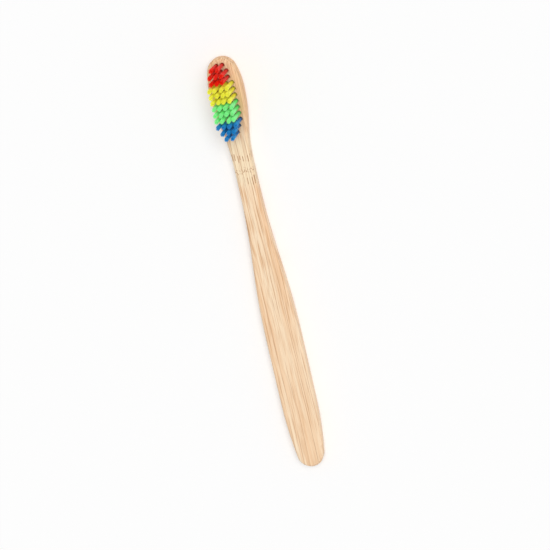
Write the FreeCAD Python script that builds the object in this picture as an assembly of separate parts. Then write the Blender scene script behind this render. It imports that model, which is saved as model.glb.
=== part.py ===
import FreeCAD, Part
import math
import os

# A manual toothbrush: a flat bamboo handle whose head holds rows of nylon tufts.
# Each tuft is a bunch of filaments folded in two over a small metal plate. The plate is driven
# edge-on into a drilled hole, and its ends bite into the wood on both sides of the hole.
# The brush lies on its back. +X points to the tip of the head, +Z the way the bristles point,
# and the origin is the middle of the back face.

# Sizes are in millimetres and angles in degrees.

# Handle
overall_length = 175.0
thickness = 5.5
edge_radius = 1.3
shoulder_tail = 13.3  # from the last row of holes to the start of the neck
neck_length = 9.0
neck_width = 7.7
grip_length = 28.0  # the straight stretch at the widest part of the handle
grip_width = 14.3
end_length = 29.0  # the stretch that rounds off the end of the handle

# How far the round ends and the narrowing of the head reach, as shares
tip_round_share = 0.83  # of half the head's width, the radius at the tip of the head
end_round_share = 0.77  # of half the grip's width, the radius at the end of the handle
shoulder_start_share = 0.38  # of the length of the tuft field, where the head starts to narrow

# Holes, from the row at the tip of the head to the row at the neck
tufts_per_row = (2, 3, 3, 4, 4, 4, 4, 4, 4, 4, 3, 2)
hole_diameter = 1.7
hole_depth = 3.1  # at the full diameter, above the drill point
drill_point_angle = 118.0
web_along = 0.75  # wood between one row of holes and the next
web_across = 0.6  # wood between two holes of a row
tip_wall = 1.85  # wood between the first row of holes and the tip of the head
side_wall = 2.45  # wood between the outermost holes and the side of the head

# Tufts
tuft_sides = 12  # a bunch of filaments and its hole are drawn with this many sides
rows_per_colour = 3
colours = ("red", "yellow", "green", "blue")
bristle_height = 11.0
tip_gap = 0.5  # between the tips of neighbouring tufts
tip_round = 0.35
root_clearance = 0.02

# Anchor plates
plate_height = 1.2
plate_thickness = 0.3
plate_bite = 0.25  # how far each end of a plate goes into the wood
plate_angle = 66.0  # from the grain, so that no plate splits it

overrun = 1.0  # how far a cut runs past the face that it opens

# Sizes that follow from the ones above
hole_radius = hole_diameter / 2
row_pitch = hole_diameter + web_along
column_pitch = hole_diameter + web_across
field_length = (len(tufts_per_row) - 1) * row_pitch
head_width = (max(tufts_per_row) - 1) * column_pitch + hole_diameter + 2 * side_wall
head_tip = overall_length / 2
first_row = head_tip - tip_wall - hole_radius
last_row = first_row - field_length
hole_bottom = thickness - hole_depth
point_half_angle = math.radians(drill_point_angle / 2)
drill_point = hole_bottom - hole_radius / math.tan(point_half_angle)
plate_length = hole_diameter + 2 * plate_bite
root_radius = hole_radius - root_clearance
tip_radius = (min(row_pitch, column_pitch) - tip_gap) / 2
bristle_top = thickness + bristle_height

# The fold under a plate is a half ball that beds on the drill point, so the plate's lower edge,
# at the ball's centre, lies this high
plate_bottom = hole_bottom + hole_radius * math.tan(point_half_angle / 2)


def vector(x, y, z=0):
    return FreeCAD.Vector(x, y, z)


def arc_from_level(start, end):
    """An arc that leaves its start parallel to the brush and runs to its end."""
    run, rise = end.x - start.x, end.y - start.y
    half_turn = math.atan(rise / run)
    share = math.tan(half_turn / 2)
    middle = vector(start.x + run / 2 + rise / 2 * share, start.y + rise / 2 - run / 2 * share)
    return Part.Arc(start, middle, end).toShape()


def sway(start, end):
    """A side that eases from one width to another: two equal arcs, level at both ends."""
    turn = (start + end) / 2
    return [arc_from_level(start, turn), arc_from_level(end, turn)]


def rounded_end(end_x, side_x, half_width, end_radius):
    """Half of a blunt end: a side arc that is level where it starts, and an end arc that touches it."""
    reach = abs(end_x - side_x)
    outward = math.copysign(1, end_x - side_x)
    side_radius = (reach ** 2 - 2 * reach * end_radius + half_width ** 2) / (2 * (half_width - end_radius))
    end_centre = vector(end_x - outward * end_radius, 0)
    side_centre = vector(side_x, half_width - side_radius)
    touch = end_centre + (end_centre - side_centre).normalize() * end_radius
    to_touch = touch - end_centre
    half_angle = math.atan2(to_touch.y, outward * to_touch.x) / 2
    end_middle = end_centre + vector(outward * math.cos(half_angle), math.sin(half_angle)) * end_radius
    return [
        arc_from_level(vector(side_x, half_width), touch),
        Part.Arc(touch, end_middle, vector(end_x, 0)).toShape(),
    ]


def handle_outline():
    """The handle seen from above: one side from the tip to the end, and its mirror image."""
    handle_end = -overall_length / 2
    shoulder_start = first_row - shoulder_start_share * field_length
    neck_start = last_row - shoulder_tail
    neck_end = neck_start - neck_length
    grip_end = handle_end + end_length
    grip_start = grip_end + grip_length
    head_half, neck_half, grip_half = head_width / 2, neck_width / 2, grip_width / 2
    side = [
        *rounded_end(head_tip, shoulder_start, head_half, tip_round_share * head_half),
        *sway(vector(shoulder_start, head_half), vector(neck_start, neck_half)),
        Part.makeLine(vector(neck_start, neck_half), vector(neck_end, neck_half)),
        *sway(vector(neck_end, neck_half), vector(grip_start, grip_half)),
        Part.makeLine(vector(grip_start, grip_half), vector(grip_end, grip_half)),
        *rounded_end(handle_end, grip_end, grip_half, end_round_share * grip_half),
    ]
    middle, across = vector(0, 0), vector(0, 1)
    other_side = [edge.mirror(middle, across) for edge in side]
    return Part.Wire(Part.__sortEdges__(side + other_side))


def handle_blank():
    """The handle before it is drilled, with the edges of both faces rounded."""
    slab = Part.Face(handle_outline()).extrude(vector(0, 0, thickness))
    by_height = sorted(slab.Faces, key=lambda face: face.CenterOfMass.z)
    rims = by_height[0].Edges + by_height[-1].Edges
    return slab.makeFillet(edge_radius, rims)


def ring(radius, height):
    """The corners of one section of a tuft or a hole. A ring of no radius is a single point."""
    turns = [2 * math.pi * side / tuft_sides for side in range(tuft_sides if radius else 1)]
    return [vector(radius * math.cos(turn), radius * math.sin(turn), height) for turn in turns]


def flat_face(corners):
    return Part.Face(Part.makePolygon(corners + corners[:1]))


def faceted(sections):
    """A many-sided solid through sections of (radius, height), from the lowest up."""
    rings = [ring(radius, height) for radius, height in sections]
    faces = [flat_face(end) for end in (rings[0][::-1], rings[-1]) if len(end) > 1]
    for lower, upper in zip(rings, rings[1:]):
        for side in range(tuft_sides):
            following = (side + 1) % tuft_sides
            low = [lower[side], lower[following]] if len(lower) > 1 else lower
            high = [upper[following], upper[side]] if len(upper) > 1 else upper
            faces.append(flat_face(low + high))
    return Part.Solid(Part.Shell(faces))


def drilled_hole():
    """The drill's path into the head, from its point to above the face."""
    return faceted([(0, drill_point), (hole_radius, hole_bottom), (hole_radius, thickness + overrun)])


def plate_block(top):
    """A block as long and thick as a plate, from the plate's lower edge up to the given height."""
    corner = vector(-plate_length / 2, -plate_thickness / 2, plate_bottom)
    block = Part.makeBox(plate_length, plate_thickness, top - plate_bottom, corner)
    block.rotate(vector(0, 0), vector(0, 0, 1), plate_angle)
    return block


def anchor_plate():
    return plate_block(plate_bottom + plate_height)


def plate_slit():
    """The slit that a plate cuts on its way down, so it is open up to the face."""
    return plate_block(thickness + overrun)


def tuft():
    """A folded bunch: a ball-shaped fold, a root in the hole and a brush end that spreads a little."""
    bend = math.radians(45)
    bunch = faceted([
        (0, plate_bottom - root_radius),
        (root_radius * math.cos(bend), plate_bottom - root_radius * math.sin(bend)),
        (root_radius, plate_bottom),
        (root_radius, thickness),
        (tip_radius, bristle_top - tip_round),
        (tip_radius - tip_round, bristle_top),
    ])
    return bunch.cut(anchor_plate())


def tuft_places():
    """The middle of each hole, with the colour of its row."""
    places = []
    for row, count in enumerate(tufts_per_row):
        x = first_row - row * row_pitch
        for column in range(count):
            y = (column - (count - 1) / 2) * column_pitch
            places.append((colours[row // rows_per_colour], vector(x, y)))
    return places


def placed(shape, place):
    copy = shape.copy()
    copy.translate(place)
    return copy


def build():
    places = tuft_places()
    hole, slit, bunch, plate = drilled_hole(), plate_slit(), tuft(), anchor_plate()
    socket = hole.fuse(slit)

    nodes = {"handle": handle_blank().cut([placed(socket, place) for _, place in places])}
    made = dict.fromkeys(colours, 0)
    for colour, place in places:
        made[colour] += 1
        nodes[f"{colour}_tuft_{made[colour]:02d}"] = placed(bunch, place)
    nodes["anchor_plates"] = Part.Compound([placed(plate, place) for _, place in places])
    return nodes


def main():
    os.makedirs("parts", exist_ok=True)
    for name, shape in build().items():
        shape.exportStep(f"parts/{name}.step")
    print("wood left under the drill points:", round(drill_point, 2), "mm")
    print("head width:", round(head_width, 2), "mm")


main()
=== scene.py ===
# %% [markdown]
# A manual toothbrush: a flat bamboo handle with rows of coloured nylon bristles.
# The solids of the brush come in as a fixed frame, and every piece made here goes where they are.
# All chance comes from one seeded source, so the brush is the same in every run.

# %% Load the brush
import bpy
import math
import random
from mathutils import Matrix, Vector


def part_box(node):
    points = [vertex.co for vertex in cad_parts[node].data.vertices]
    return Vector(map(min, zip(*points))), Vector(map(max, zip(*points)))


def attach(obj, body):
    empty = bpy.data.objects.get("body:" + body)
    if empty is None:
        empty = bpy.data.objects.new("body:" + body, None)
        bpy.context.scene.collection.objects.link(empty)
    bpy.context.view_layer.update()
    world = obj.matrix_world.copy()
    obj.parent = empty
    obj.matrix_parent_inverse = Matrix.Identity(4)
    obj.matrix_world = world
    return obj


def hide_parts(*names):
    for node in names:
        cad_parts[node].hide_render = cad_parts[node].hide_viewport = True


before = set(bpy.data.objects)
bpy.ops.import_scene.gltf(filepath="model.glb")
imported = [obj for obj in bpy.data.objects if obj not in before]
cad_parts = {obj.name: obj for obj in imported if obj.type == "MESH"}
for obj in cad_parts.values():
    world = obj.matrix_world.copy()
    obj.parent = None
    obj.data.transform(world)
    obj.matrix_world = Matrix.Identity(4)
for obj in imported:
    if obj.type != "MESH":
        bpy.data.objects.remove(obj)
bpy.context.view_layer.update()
mm = 0.001
chance_seed = 41
chance = random.Random(chance_seed)


# %% [markdown]
# The handle is one piece of bamboo, cut flat and sanded round along its edges.
# Its solid already has that shape, with a hole for each tuft, so it needs no new modelling.
# Its mesh comes as loose triangles, which would shade in facets.
# A copy of it is welded first, so that neighbouring faces share their corners.

# %% Weld a copy of the handle
weld_distance = 0.002 * mm


def own_copy(mesh, name):
    """A new object with its own copy of a mesh. It is the only one selected."""
    copy = bpy.data.objects.new(name, mesh.copy())
    bpy.context.collection.objects.link(copy)
    bpy.ops.object.select_all(action="DESELECT")
    copy.select_set(True)
    bpy.context.view_layer.objects.active = copy
    return copy


handle = own_copy(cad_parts["handle"].data, "bamboo_handle")
bpy.ops.object.mode_set(mode="EDIT")
bpy.ops.mesh.select_all(action="SELECT")
bpy.ops.mesh.customdata_custom_splitnormals_clear()
bpy.ops.mesh.remove_doubles(threshold=weld_distance)
bpy.ops.object.mode_set(mode="OBJECT")
print("corners of the welded handle:", len(handle.data.vertices))

# %% [markdown]
# The rounded edges of the real handle are smooth and its two faces are flat.
# A bevel or a subdivision would add many faces without changing what is seen.
# Smoothing by angle rounds the edges, and weighted normals keep the large faces flat.

# %% Smooth the sanded edges
handle_smooth_angle = math.radians(35)
bpy.ops.object.shade_smooth_by_angle(angle=handle_smooth_angle)
bpy.ops.object.modifier_add(type="WEIGHTED_NORMAL")
flat_faces = handle.modifiers[-1]
flat_faces.keep_sharp = True
bpy.ops.object.modifier_apply(modifier=flat_faces.name)
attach(handle, "root")
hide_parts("handle")
handle_low, handle_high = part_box("handle")
print("handle thickness in mm:", round((handle_high.z - handle_low.z) / mm, 2))

# %% [markdown]
# A tuft is a bunch of filaments folded in two over a small metal plate that sits in its hole.
# A solid brush end would look like a peg, and hair particles would not be a mesh.
# So one filament is modelled as it is: a hairpin with a bend under the plate and two legs.
# The heights of the plate, of the face and of the tips are read from the solids.

# %% Heights along a tuft
plate_low, plate_high = (corner.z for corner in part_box("anchor_plates"))
face_height = handle_high.z
tip_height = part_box("red_tuft_01")[1].z
print("free length of the bristles in mm:", round((tip_height - face_height) / mm, 2))

# %% [markdown]
# A filament starts as a small circle beside the plate, and half a turn of spin makes the bend.
# Each end is then extruded past the plate, up to the face and out to the tip.
# A bevelled curve would give the same shape, but extruding keeps the number of faces in hand.
# An operator works on what is selected, so the end face of a leg is first found by its place.

# %% Draw one leg of a filament
filament_radius = 0.11 * mm
tip_rise = 0.8 * filament_radius
tip_narrowing = 0.45  # what the rounded tip keeps of the filament's width
pick_reach = 0.02 * mm
level_limit = 0.9  # a face whose normal has more than this of Z is level


def deselect_mesh(piece):
    for thing in (*piece.data.vertices, *piece.data.edges, *piece.data.polygons):
        thing.select = False


def pick_end(filament, place):
    """Selects the level end face of a leg by its place."""
    bpy.ops.object.mode_set(mode="OBJECT")
    deselect_mesh(filament)
    for face in filament.data.polygons:
        near = math.dist(face.center[:2], place[:2]) < pick_reach
        if near and face.normal.z > level_limit:
            face.select = True
    bpy.ops.object.mode_set(mode="EDIT")


def draw_leg(filament, start, stops):
    """Extrudes one leg upwards through its stops, and rounds its tip."""
    pick_end(filament, start)
    here = start
    for stop in stops:
        step = [there - now for there, now in zip(stop, here)]
        bpy.ops.mesh.extrude_region_move(TRANSFORM_OT_translate={"value": step})
        here = stop
    bpy.ops.mesh.extrude_region_move(TRANSFORM_OT_translate={"value": (0, 0, tip_rise)})
    bpy.ops.transform.resize(value=(tip_narrowing, tip_narrowing, 1), center_override=here)


print("width of a filament in mm:", round(2 * filament_radius / mm, 2))

# %% [markdown]
# The two legs of a hairpin come together over the plate, and each ends at a tip of its own.
# A spin can turn faces inside out, so the normals are made to point outwards afterwards.

# %% Fold a filament
filament_sides = 6
bend_steps = 4
leg_closing = 0.13 * mm  # how far a leg comes in over the plate, on its way up to the face


def folded_filament(u, v, tips):
    """A hairpin at its place in the bunch: u along the plate and v away from it."""
    bpy.ops.mesh.primitive_circle_add(
        vertices=filament_sides,
        radius=filament_radius,
        fill_type="NGON",
        location=(u, v, plate_low),
    )
    filament = bpy.context.object
    bpy.ops.object.transform_apply()
    bpy.ops.object.mode_set(mode="EDIT")
    bpy.ops.mesh.select_all(action="SELECT")
    bpy.ops.mesh.spin(steps=bend_steps, angle=math.pi, center=(0, 0, plate_low), axis=(1, 0, 0))
    bpy.ops.mesh.select_all(action="SELECT")
    bpy.ops.mesh.normals_make_consistent(inside=False)
    for side, tip in zip((1, -1), tips):
        bend_end = (u, side * v, plate_low)
        past_plate = (u, side * v, plate_high)
        at_face = (u, side * (v - leg_closing), face_height)
        draw_leg(filament, bend_end, [past_plate, at_face, tip])
    bpy.ops.mesh.select_all(action="SELECT")
    bpy.ops.mesh.normals_make_consistent(inside=False)
    bpy.ops.object.mode_set(mode="OBJECT")
    return filament


print("height of a hairpin above its bend in mm:", round((tip_height - plate_low) / mm, 2))

# %% [markdown]
# A bunch holds layers of hairpins on its plate, with fewer of them in the outer layers.
# Real filaments are cut level and then fray, so each tip ends a little off its place.
# Four bunches are enough, because every tuft is turned and leaned by itself afterwards.

# %% Gather filaments into a bunch
# how far each layer of hairpins lies from the middle of the plate, and how many it holds
layers = ((0.265 * mm, 6), (0.455 * mm, 5), (0.635 * mm, 4))
filament_pitch = 0.23 * mm
spread_along, spread_across = 1.20, 1.55  # how many times further out the tips are than the roots
tip_scatter = 0.05 * mm
tip_shortfall = 0.35 * mm
filament_smooth_angle = math.radians(70)
bunch_kinds = 4


def loose_tip(u, v):
    """Where a filament ends: spread from its root, a little off its line and a little short."""
    return (
        u * spread_along + chance.uniform(-tip_scatter, tip_scatter),
        v * spread_across + chance.uniform(-tip_scatter, tip_scatter),
        tip_height - filament_radius - chance.random() ** 2 * tip_shortfall,
    )


def bunch_of_filaments():
    made = []
    for v, count in layers:
        root = v - leg_closing
        for place in range(count):
            u = (place - (count - 1) / 2) * filament_pitch
            made.append(folded_filament(u, v, (loose_tip(u, root), loose_tip(u, -root))))
    bpy.ops.object.select_all(action="DESELECT")
    for filament in made:
        filament.select_set(True)
    bpy.context.view_layer.objects.active = made[0]
    bpy.ops.object.join()
    bpy.ops.object.shade_smooth_by_angle(angle=filament_smooth_angle)
    return bpy.context.object


bunches = [bunch_of_filaments() for _ in range(bunch_kinds)]
print("faces in a bunch:", [len(bunch.data.polygons) for bunch in bunches])

# %% [markdown]
# The brush has 41 tufts, and no two are quite alike.
# Each is a copy of one of the bunches with its own mesh, turned to its plate and set in its hole.
# Either face of a bunch may come to the front, so about half of them get half a turn more.
# Then its tips are pushed a little to one side, as a used tuft leans.

# %% Set a tuft in every hole
plate_turn = math.radians(66)  # the plates stand at this angle to the grain
half_turns = (0, math.pi)
lean = 0.12 * mm
lean_from = (face_height + tip_height) / 2


def set_tuft(bunch, name, middle, half_turn):
    tuft = own_copy(bunch.data, name)
    tuft.rotation_euler.z = plate_turn + half_turn
    tuft.location = (middle.x, middle.y, 0)
    bpy.ops.object.transform_apply()
    deselect_mesh(tuft)
    for corner in tuft.data.vertices:
        corner.select = corner.co.z > lean_from
    bpy.ops.object.mode_set(mode="EDIT")
    bpy.ops.transform.translate(value=(chance.gauss(0, lean), chance.gauss(0, lean), 0))
    bpy.ops.object.mode_set(mode="OBJECT")
    return tuft


tufts = {}
for node in sorted(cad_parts):
    if "_tuft_" not in node:
        continue
    low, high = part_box(node)
    colour = node.split("_")[0]
    bunch, half_turn = chance.choice(bunches), chance.choice(half_turns)
    piece = set_tuft(bunch, node + "_filaments", (low + high) / 2, half_turn)
    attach(piece, "root")
    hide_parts(node)
    tufts.setdefault(colour, []).append(piece)
for bunch in bunches:
    bpy.data.objects.remove(bunch)
print("tufts:", {colour: len(pieces) for colour, pieces in tufts.items()})

# %% [markdown]
# Each finish is a small net of nodes: some make a pattern, some shape it, and some mix colours.
# These helpers add the nodes and join them up, so that a finish reads as a short list of steps.
# A number that is the same all over a surface goes straight into the shader's own socket.


# %% Helpers that add nodes
def new_material(name):
    material = bpy.data.materials.new(name)
    material.use_nodes = True
    return material, material.node_tree, material.node_tree.nodes["Principled BSDF"]


def set_sockets(tree, node, sockets):
    """Fills the sockets of a node, by name or number. A value that is itself a socket is linked."""
    for key, value in sockets.items():
        if isinstance(value, bpy.types.NodeSocket):
            tree.links.new(value, node.inputs[key])
        else:
            node.inputs[key].default_value = value


def add_node(tree, kind, sockets, **settings):
    """Adds a node with its settings, fills its sockets and gives back its outputs."""
    made = tree.nodes.new("ShaderNode" + kind)
    for name, value in settings.items():
        setattr(made, name, value)
    set_sockets(tree, made, sockets)
    return made.outputs


def dress(piece, material):
    piece.data.materials.clear()
    piece.data.materials.append(material)


print("materials before the finishes:", len(bpy.data.materials))

# %% [markdown]
# A pattern in a finish comes from two kinds of texture: soft noise and separate cells.
# Both count in cells to the metre. Few of them along an axis draw a pattern out that way.
# They read the place on the piece itself, so they need no unwrapping and fit every side.

# %% Helpers for patterns
noise_middle = 0.5  # the value that a noise sways round


def stretched(tree, point, cells):
    return add_node(tree, "Mapping", {"Vector": point, "Scale": cells})["Vector"]


def noise(tree, point, cells, detail):
    """A soft noise with a number of cells to the metre along X, Y and Z."""
    sockets = {"Vector": stretched(tree, point, cells), "Scale": 1.0, "Detail": detail}
    return add_node(tree, "TexNoise", sockets)


def row_of_cells(tree, place, pitch, stray=1.0):
    """Cells in one row. At no stray they lie in even steps, at one they lie at random."""
    sockets = {"W": place, "Scale": 1 / pitch, "Randomness": stray}
    return add_node(tree, "TexVoronoi", sockets, voronoi_dimensions="1D")


def field_of_cells(tree, plan, cells):
    """Cells scattered over a plane."""
    sockets = {"Vector": stretched(tree, plan, cells), "Scale": 1.0}
    return add_node(tree, "TexVoronoi", sockets, voronoi_dimensions="2D")


def split(tree, vector):
    """The X, Y and Z of a place or a direction."""
    return add_node(tree, "SeparateXYZ", {"Vector": vector})


def own_numbers(tree, cells):
    """Three chance numbers that each cell has for itself."""
    return add_node(tree, "SeparateColor", {"Color": cells["Color"]})


print("a noise sways round:", noise_middle)

# %% [markdown]
# Patterns are shaped and joined by sums, by soft steps from one value to another, and by mixing.
# A colour ramp could make the steps too, but a map range says in numbers where one starts.

# %% Helpers for shaping
fall = (1.0, 0.0)  # for marks that are full in their middle and fade to nothing


def calc(tree, operation, *numbers):
    return add_node(tree, "Math", dict(enumerate(numbers)), operation=operation)[0]


def times(tree, first, second):
    return calc(tree, "MULTIPLY", first, second)


def calc_vector(tree, operation, first, second):
    return add_node(tree, "VectorMath", {0: first, 1: second}, operation=operation)[0]


def fade(tree, value, start, end, low=0.0, high=1.0):
    """A soft step: low up to the start, and high from the end on."""
    sockets = {"Value": value, "From Min": start, "From Max": end, "To Min": low, "To Max": high}
    return add_node(tree, "MapRange", sockets, interpolation_type="SMOOTHSTEP")["Result"]


def between(tree, value, low, high, soft):
    """One between two places, with soft ends."""
    past_low = fade(tree, value, low - soft, low + soft)
    return times(tree, past_low, fade(tree, value, high - soft, high + soft, *fall))


def blend(tree, share, first, second):
    return add_node(tree, "Mix", {0: share, 6: first, 7: second}, data_type="RGBA")[2]


def relief(tree, height, depth, strength):
    sockets = {"Height": height, "Distance": depth, "Strength": strength}
    return add_node(tree, "Bump", sockets)["Normal"]


print("a fall goes from and to:", fall)

# %% [markdown]
# Bamboo is a bed of pale tissue with long darker fibre bundles that all run along the stem.
# An image would not fit every side, so the bundles are lines side by side across the grain.
# They are counted over the width on the two faces, and over the thickness on the narrow sides.
# A slow noise lets them sway from their line.

# %% Direction of the grain
sway_cells = (18, 90, 90)  # to the metre: along, across and up
sway_reach = (0, 1.0 * mm, 1.0 * mm)
face_limit = 0.6  # a surface whose normal has more than this of Z counts as one of the two faces

bamboo, tree, shader = new_material("bamboo")
here = add_node(tree, "TexCoord", {})["Object"]
along, across, upward = split(tree, here)

sway = noise(tree, here, sway_cells, detail=1.0)["Color"]
sway = calc_vector(tree, "SUBTRACT", sway, (noise_middle, noise_middle, noise_middle))
grain = calc_vector(tree, "ADD", here, calc_vector(tree, "MULTIPLY", sway, sway_reach))
_, grain_across, grain_upward = split(tree, grain)

normal = add_node(tree, "NewGeometry", {})["Normal"]
end_facing, _, face_facing = split(tree, normal)
on_a_face = calc(tree, "GREATER_THAN", calc(tree, "ABSOLUTE", face_facing), face_limit)
side_or_face = {0: on_a_face, 2: grain_upward, 3: grain_across}
crosswise = add_node(tree, "Mix", side_or_face, data_type="FLOAT")[0]
print("bamboo nodes so far:", len(tree.nodes))

# %% [markdown]
# The bundles are thin dark lines, and each comes and goes along its length.
# Between them lie finer fibres, pores that show as short strokes, and broad bands of tone.
# Each of these is a noise that is drawn out along the grain, at a scale of its own.

# %% Bundles, fibres and pores
bundle_pitch = 1.0 * mm
bundle_edge = (0.06, 0.18)  # where a bundle fades out, in pitches from its middle
strength_cells = (45, 900, 900)
strength_limits = (0.40, 0.62)  # the noise values where bundles are faintest and strongest
faintest_bundle = 0.05
fibre_cells = (85, 1700, 1700)
pore_cells = (160, 9000, 9000)
band_cells = (9, 420, 300)

bundle = fade(tree, row_of_cells(tree, crosswise, bundle_pitch)["Distance"], *bundle_edge, *fall)
strength = noise(tree, grain, strength_cells, detail=2.0)["Fac"]
bundle = times(tree, bundle, fade(tree, strength, *strength_limits, low=faintest_bundle))
fibres = noise(tree, grain, fibre_cells, detail=2.0)["Fac"]
pores = noise(tree, grain, pore_cells, detail=3.0)["Fac"]
bands = noise(tree, grain, band_cells, detail=3.0)["Fac"]
print("bamboo nodes so far:", len(tree.nodes))

# %% [markdown]
# Where the stem had a joint, its fibres bend and break off, and the sanded face cuts across them.
# That leaves a ring of small flecks, with a row of short dark dashes on each side of it.
# The dashes are cells in a row across the grain, and each is cut off at a length of its own.
# The lower row is strong on one side of the handle only.

# %% Dashes at the joint of the stem
dash_stray = 0.45  # from even steps, which real dashes nearly keep
dash_edge = (0.08, 0.24)  # where a dash fades out sideways, in pitches from its middle
dash_end = 0.3 * mm  # how far before and past its end a dash fades out
dash_shift = 0.4  # of the row's length, the stretch in which the middles of its dashes lie
shortest_dash, longest_dash = 0.2, 0.5  # half the length of a dash, as a share of the row's
dash_depth_limits = (0.1, 0.7)  # the chance numbers of the faintest and the darkest dashes
faintest_mark = 0.3
lower_row_limits = (-1.0 * mm, 0.5 * mm)  # across the handle, where the row fades
lower_row_rest = 0.25  # what is left of the row on its weak side


def row_of_dashes(middle, length, pitch):
    """Dark fibres side by side, each with its own place, length and depth of colour."""
    cells = row_of_cells(tree, crosswise, pitch, dash_stray)
    own_place, own_length, own_depth = own_numbers(tree, cells)
    shift, shortest = dash_shift * length, shortest_dash * length
    centre = calc(tree, "MULTIPLY_ADD", own_place, shift, middle - shift / 2)
    reach = calc(tree, "MULTIPLY_ADD", own_length, longest_dash * length - shortest, shortest)
    off_centre = calc(tree, "ABSOLUTE", calc(tree, "SUBTRACT", along, centre))
    past_end = calc(tree, "SUBTRACT", off_centre, reach)
    dash = fade(tree, cells["Distance"], *dash_edge, *fall)
    dash = times(tree, dash, fade(tree, own_depth, *dash_depth_limits, low=faintest_mark))
    return times(tree, dash, fade(tree, past_end, -dash_end, dash_end, *fall))


upper_row = row_of_dashes(middle=47.3 * mm, length=3.6 * mm, pitch=1.0 * mm)
lower_row = row_of_dashes(middle=38.3 * mm, length=4.6 * mm, pitch=0.95 * mm)
one_sided = fade(tree, across, *lower_row_limits, low=1.0, high=lower_row_rest)
lower_row = times(tree, lower_row, one_sided)
print("bamboo nodes so far:", len(tree.nodes))

# %% [markdown]
# The ring itself is a narrow stretch of small flecks that wavers as it goes round the handle.
# They are cells too, scattered over the surface and shown only within the ring.

# %% Ring of flecks at the joint
ring_low, ring_high, ring_soft = 41.8 * mm, 43.9 * mm, 0.3 * mm
ring_waver = 1.8 * mm
waver_scale = 550.0  # cells to the metre round the handle
fleck_cells = (1050, 1800, 1)
fleck_edge = (0.22, 0.48)  # where a fleck fades out, in cells from its middle
fleck_depth_limits = (0.2, 0.8)

waver_sockets = {"W": crosswise, "Scale": waver_scale, "Detail": 1.0}
waver = add_node(tree, "TexNoise", waver_sockets, noise_dimensions="1D")["Fac"]
ring_place = calc(tree, "MULTIPLY_ADD", waver, ring_waver, along)
ring_plan = add_node(tree, "CombineXYZ", {"X": along, "Y": crosswise})["Vector"]
cells = field_of_cells(tree, ring_plan, fleck_cells)
fleck = fade(tree, cells["Distance"], *fleck_edge, *fall)
own_depth = own_numbers(tree, cells)["Red"]
fleck = times(tree, fleck, fade(tree, own_depth, *fleck_depth_limits, low=faintest_mark))
fleck = times(tree, fleck, between(tree, ring_place, ring_low, ring_high, ring_soft))
joint_marks = calc(tree, "MAXIMUM", fleck, calc(tree, "MAXIMUM", upper_row, lower_row))
print("bamboo nodes so far:", len(tree.nodes))

# %% [markdown]
# On the rounded ends of the handle the fibre bundles are cut square, so they show as dots.
# The dots lie in the section of the handle, and they come in as the surface turns to face the end.

# %% Cut ends of the fibres
end_dot_cells = (1050, 1050, 1)
end_dot_edge = (0.12, 0.34)  # where a dot fades out, in cells from its middle
end_limits = (0.15, 0.50)  # the normal's X at which the dots start to show and are full

section = add_node(tree, "CombineXYZ", {"X": across, "Y": upward})["Vector"]
cut_ends = field_of_cells(tree, section, end_dot_cells)
end_dot = fade(tree, cut_ends["Distance"], *end_dot_edge, *fall)
end_dot = times(tree, end_dot, fade(tree, calc(tree, "ABSOLUTE", end_facing), *end_limits))
print("bamboo nodes so far:", len(tree.nodes))

# %% [markdown]
# The colour is laid on from pale to dark: bands, a riper tone towards the head, then the fibres.
# Round the joint the tissue is denser, so it is paler there and shows fewer streaks.

# %% Colour of the bamboo
pale, tan, cream = (0.98, 0.78, 0.55, 1), (0.92, 0.63, 0.39, 1), (0.99, 0.85, 0.59, 1)
ripe, brown, dark = (0.84, 0.50, 0.23, 1), (0.72, 0.41, 0.20, 1), (0.42, 0.18, 0.07, 1)
# limits are the noise values at which a tone starts to show and is full
band_limits = (0.36, 0.68)
ripe_stretch, most_ripe = (53 * mm, 70 * mm), 0.50
joint_low, joint_high, joint_soft = 36 * mm, 55 * mm, 3 * mm
cream_share, streaks_at_joint = 0.65, 0.5
streak_limits = (0.44, 0.66)
streak_stretch, streaks_at_grip, streaks_at_head = (-40 * mm, 30 * mm), 0.40, 0.75
pore_limits = (0.45, 0.70)
pore_share, bundle_share, mark_share, end_dot_share = 0.22, 0.50, 0.88, 0.65

wood = blend(tree, fade(tree, bands, *band_limits), pale, tan)
wood = blend(tree, fade(tree, along, *ripe_stretch, high=most_ripe), wood, ripe)
near_joint = between(tree, along, joint_low, joint_high, joint_soft)
wood = blend(tree, times(tree, near_joint, cream_share), wood, cream)
streaks = fade(tree, along, *streak_stretch, low=streaks_at_grip, high=streaks_at_head)
streaks = times(tree, fade(tree, fibres, *streak_limits), streaks)
streaks = times(tree, streaks, fade(tree, near_joint, 0.0, 1.0, low=1.0, high=streaks_at_joint))
wood = blend(tree, streaks, wood, brown)
pore_strokes = fade(tree, pores, *pore_limits)
dark_marks = (
    (pore_strokes, pore_share),
    (bundle, bundle_share),
    (joint_marks, mark_share),
    (end_dot, end_dot_share),
)
for mark, share in dark_marks:
    wood = blend(tree, times(tree, mark, share), wood, dark)
print("bamboo nodes so far:", len(tree.nodes))

# %% [markdown]
# The real handle is bare sanded wood, so it is matt, and a faint relief follows its fibres.
# The bundles lie a little lower than the tissue between them.

# %% Finish of the bamboo
matt_limits, bamboo_roughness = (0.3, 0.7), (0.42, 0.60)
pore_height = 0.5
bamboo_depth, bamboo_relief = 0.04 * mm, 0.35

height = calc(tree, "SUBTRACT", times(tree, pores, pore_height), bundle)
set_sockets(tree, shader, {
    "Base Color": wood,
    "Roughness": fade(tree, fibres, *matt_limits, *bamboo_roughness),
    "Normal": relief(tree, height, bamboo_depth, bamboo_relief),
    "Specular IOR Level": 0.35,
})
dress(handle, bamboo)
print("bamboo nodes in all:", len(tree.nodes))
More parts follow.
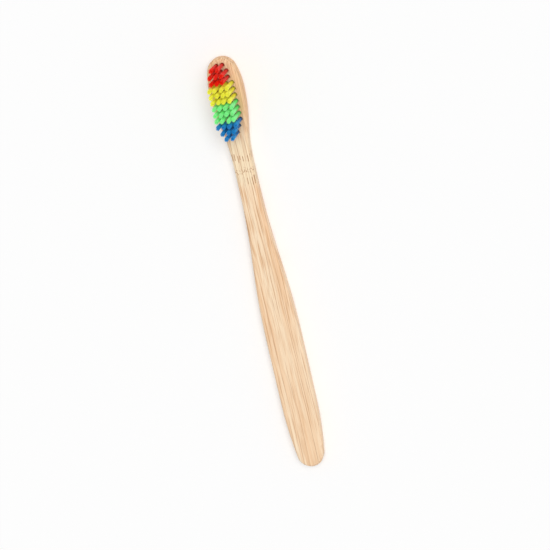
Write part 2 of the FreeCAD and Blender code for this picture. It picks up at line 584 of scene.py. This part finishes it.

# %% [markdown]
# The filaments are dyed nylon and a little translucent. A fade along the height paints their free
# ends paler, as painted light.
# Deep in the tuft, where light hardly gets, it paints the colour fuller and darker, as painted
# shade.
# A noise drawn out along the filaments tells them apart.
# Light also runs along inside the filaments.
# A faint glow in their own colour is painted light that stands in for it and makes them brighter.

# %% Nylon
strand_cells = (4200, 4200, 60)
strand_contrast = 0.5
strand_limits, nylon_roughness = (0.2, 0.8), (0.28, 0.45)
strand_depth, strand_relief = 0.01 * mm, 0.2
# painted shade and painted light: over this stretch the colour goes from the dark root colour to
# the pale tip colour
painted_shade_stretch = (face_height + 2 * mm, tip_height - 1 * mm)
# painted shade at the foot of each tuft, just above the face, where it goes into its hole
foot_shade_stretch = (face_height + 0.2 * mm, face_height + 2.4 * mm)
foot_shade_share = 0.85
foot_light = 0.16  # what is left of the root's colour at the foot
nylon_finish = {
    "Specular IOR Level": 0.3,
    "Sheen Weight": 0.6,
    "Sheen Roughness": 0.4,
    "Subsurface Weight": 0.4,
    "Subsurface Radius": (1, 1, 1),
    "Subsurface Scale": 0.6 * mm,
}


def nylon(name, shaded_root_colour, tip_colour, painted_glow):
    material, tree, shader = new_material(name)
    here = add_node(tree, "TexCoord", {})["Object"]
    up = split(tree, here)["Z"]
    strands = noise(tree, here, strand_cells, detail=1.0)["Fac"]
    own_shade = times(tree, calc(tree, "SUBTRACT", strands, noise_middle), strand_contrast)
    shade = calc(tree, "ADD", fade(tree, up, *painted_shade_stretch), own_shade)
    # painted shade low in the tuft and painted light at the tips, with each strand's own tone
    dye_with_painted_shade = blend(tree, shade, shaded_root_colour, tip_colour)
    # the colour of the painted shade at the foot: the root colour darkened
    painted_deep_shade = (*(part * foot_light for part in shaded_root_colour[:3]), 1)
    # painted shade, strongest at the face and gone at the top of the foot
    foot = fade(tree, up, *foot_shade_stretch, low=foot_shade_share, high=0.0)
    set_sockets(tree, shader, {
        "Base Color": blend(tree, foot, dye_with_painted_shade, painted_deep_shade),
        "Roughness": fade(tree, strands, *strand_limits, *nylon_roughness),
        "Normal": relief(tree, strands, strand_depth, strand_relief),
        "Sheen Tint": tip_colour,
        "Emission Color": tip_colour,
        # painted light: the filaments glow faintly in their tip colour
        "Emission Strength": painted_glow,
    })
    set_sockets(tree, shader, nylon_finish)
    return material


print("dark foot of a tuft in mm:", [round((end - face_height) / mm, 2) for end in foot_shade_stretch])

# %% [markdown]
# The brush has four dyes, three rows of each. Every tuft of a colour shares one material.
# Yellow and green get a little more of the painted glow than red and blue.

# %% Four dyes
# the colour of each dye at the root, darkened as painted shade, and at the tip, paler as painted
# light, and the strength of its painted glow
dyes = {
    "red": ((0.62, 0.003, 0.001, 1), (0.95, 0.020, 0.005, 1), 0.03),
    "yellow": ((0.80, 0.66, 0.004, 1), (0.98, 0.97, 0.09, 1), 0.05),
    "green": ((0.03, 0.65, 0.05, 1), (0.32, 0.98, 0.38, 1), 0.07),
    "blue": ((0.001, 0.08, 0.30, 1), (0.026, 0.32, 0.70, 1), 0.03),
}
for colour, (shaded_root_colour, tip_colour, painted_glow) in dyes.items():
    dyed_nylon = nylon(colour + "_nylon_filament", shaded_root_colour, tip_colour, painted_glow)
    for piece in tufts[colour]:
        dress(piece, dyed_nylon)
    print(dyed_nylon.name, "on", len(tufts[colour]), "tufts")

# %% [markdown]
# The anchor plates are cut from thin brass strip, and they stay out of sight in the holes.
# Their solids are right as they are, so they only get the metal: drawn along the strip and dulled.

# %% Brass
drawn_cells = (900, 900, 9000)
dull_brass, bright_brass = (0.62, 0.42, 0.16, 1), (0.86, 0.64, 0.28, 1)
drawn_limits, brass_roughness = (0.3, 0.7), (0.25, 0.45)
drawn_depth, drawn_relief = 0.02 * mm, 0.2

brass, tree, shader = new_material("strip_brass")
here = add_node(tree, "TexCoord", {})["Object"]
drawn = noise(tree, here, drawn_cells, detail=3.0)["Fac"]
set_sockets(tree, shader, {
    "Base Color": blend(tree, drawn, dull_brass, bright_brass),
    "Roughness": fade(tree, drawn, *drawn_limits, *brass_roughness),
    "Normal": relief(tree, drawn, drawn_depth, drawn_relief),
    "Metallic": 1.0,
})
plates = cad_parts["anchor_plates"]
dress(plates, brass)
print("brass on:", plates.name)

# %% [markdown]
# The studio is a white floor under a pale sky, with one broad lamp from above, beyond the head.
# A sun lamp lights the whole floor alike, so the floor runs into the sky without an edge.
# Its wide angle keeps the shadows soft, and a colour comes out about as it is written.

# %% Floor and lamp
floor_size = 6
floor_drop = 0.05 * mm  # below the back of the handle, so that the two don't flicker
lamp_place = (0.62, -0.54, 1.95)
lamp_width = math.radians(42)
lamp_strength = 1.75

bpy.ops.mesh.primitive_plane_add(size=floor_size, location=(0, 0, -floor_drop))
floor = bpy.context.object
floor.name = "studio_floor"
white, tree, shader = new_material("white_floor")
set_sockets(tree, shader, {
    "Base Color": (0.99, 0.99, 0.99, 1),
    "Roughness": 0.9,
    "Specular IOR Level": 0.0,
})
dress(floor, white)

bpy.ops.object.light_add(type="SUN", location=lamp_place)
lamp = bpy.context.object
lamp.data.angle = lamp_width
lamp.data.energy = lamp_strength
lamp.rotation_euler = lamp.location.to_track_quat("Z", "Y").to_euler()
print("lamp strength:", lamp_strength)

# %% [markdown]
# The sky fills the shadows with weak light from all round.
# Where it is seen, straight or in a shiny or clear surface, it is plain white instead.

# %% Sky
sky_light, sky_seen = 0.48, 1.0

world = bpy.data.worlds.new("soft_light")
bpy.context.scene.world = world
world.use_nodes = True
tree = world.node_tree
rays = add_node(tree, "LightPath", {})
seen = calc(tree, "MAXIMUM", rays["Is Camera Ray"], rays["Is Glossy Ray"])
seen = calc(tree, "MAXIMUM", seen, rays["Is Transmission Ray"])
set_sockets(tree, tree.nodes["Background"], {
    "Color": (1, 1, 1, 1),
    "Strength": fade(tree, seen, 0.0, 1.0, low=sky_light, high=sky_seen),
})
bpy.context.scene.view_settings.view_transform = "Standard"
print("sky strength:", sky_light, "where it is seen:", sky_seen)

# %% [markdown]
# The camera looks down on the brush from beyond the head, a little from the right.
# Its place, turn and lens were found by laying the outline of the brush over the picture.

# %% Camera
camera_place = (0.20548, -0.16775, 0.64781)
camera_turn = [math.radians(angle) for angle in (-20.0964, 10.2044, -102.5979)]
sensor_width, lens = 36, 114.02  # in millimetres, as Blender counts them
nearest_seen = 0.01

bpy.ops.object.camera_add(location=camera_place, rotation=camera_turn)
camera = bpy.context.object
camera.data.sensor_width = sensor_width
camera.data.lens = lens
camera.data.clip_start = nearest_seen
bpy.context.scene.camera = camera
print("camera lens in mm:", lens)
